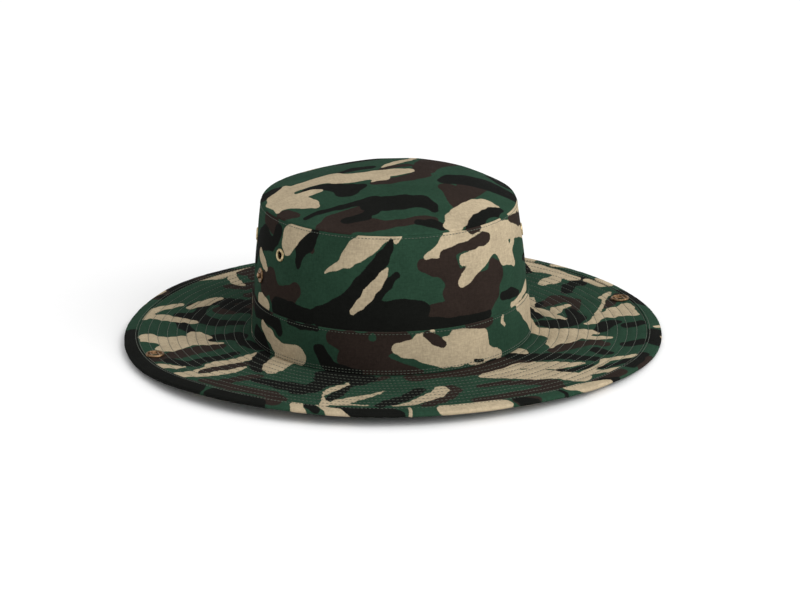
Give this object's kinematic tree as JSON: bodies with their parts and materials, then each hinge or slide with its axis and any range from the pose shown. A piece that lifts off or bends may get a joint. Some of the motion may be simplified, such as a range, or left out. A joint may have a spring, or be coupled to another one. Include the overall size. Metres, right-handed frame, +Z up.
{
  "type": "boonie hat",
  "caption": "Wide-brim boonie hat of printed camouflage cotton: oval crown with a band, stitched brim with a bound edge, metal vents, and sides that fold up and snap to the crown.",
  "frame": {"origin": "on the surface the hat stands on, under the centre of the crown", "axes": "+Z up, -Y the front of the hat, +X the wearer's left"},
  "size_m": [0.356, 0.372, 0.1072],
  "materials": {
    "camo_cloth": "matte printed cotton ripstop in four colours",
    "camo_binding": "matte printed cotton strip, folded",
    "sweatband_cloth": "soft matte cotton",
    "stiffening": "stiff woven interlining",
    "seam_tape": "matte cotton tape",
    "vent_brass": "worn antique brass",
    "snap_bronze": "worn dark bronze"
  },
  "bodies": {
    "crown": {"crown_tip": "camo_cloth", "crown_side": "camo_cloth", "hat_band": "camo_cloth", "sweatband": "sweatband_cloth", "crown_seam_tape": "seam_tape", "brim_top_cloth": "camo_cloth", "brim_stiffener": "stiffening", "brim_under_cloth": "camo_cloth", "brim_binding_front": "camo_binding", "brim_binding_back": "camo_binding", "vent_eyelet_left_front": "vent_brass", "vent_washer_left_front": "vent_brass", "vent_eyelet_left_back": "vent_brass", "vent_washer_left_back": "vent_brass", "snap_stud_left": "vent_brass", "snap_stud_back_left": "vent_brass", "vent_eyelet_right_front": "vent_brass", "vent_washer_right_front": "vent_brass", "vent_eyelet_right_back": "vent_brass", "vent_washer_right_back": "vent_brass", "snap_stud_right": "vent_brass", "snap_stud_back_right": "vent_brass"},
    "left_side": {"side_top_cloth_left": "camo_cloth", "side_stiffener_left": "stiffening", "side_under_cloth_left": "camo_cloth", "side_binding_left": "camo_binding", "snap_socket_left": "snap_bronze", "snap_spring_left": "snap_bronze", "snap_cap_left": "snap_bronze"},
    "right_side": {"side_top_cloth_right": "camo_cloth", "side_stiffener_right": "stiffening", "side_under_cloth_right": "camo_cloth", "side_binding_right": "camo_binding", "snap_socket_right": "snap_bronze", "snap_spring_right": "snap_bronze", "snap_cap_right": "snap_bronze"}
  },
  "joints": [
    {"name": "left_side_fold", "type": "hinge", "parent": "crown", "child": "left_side", "pos_m": [0.1117, 0, 0.00378], "axis": [0, -1, 0], "range_deg": [0, 111]},
    {"name": "right_side_fold", "type": "hinge", "parent": "crown", "child": "right_side", "pos_m": [-0.1117, 0, 0.00378], "axis": [0, 1, 0], "range_deg": [0, 111]}
  ]
}
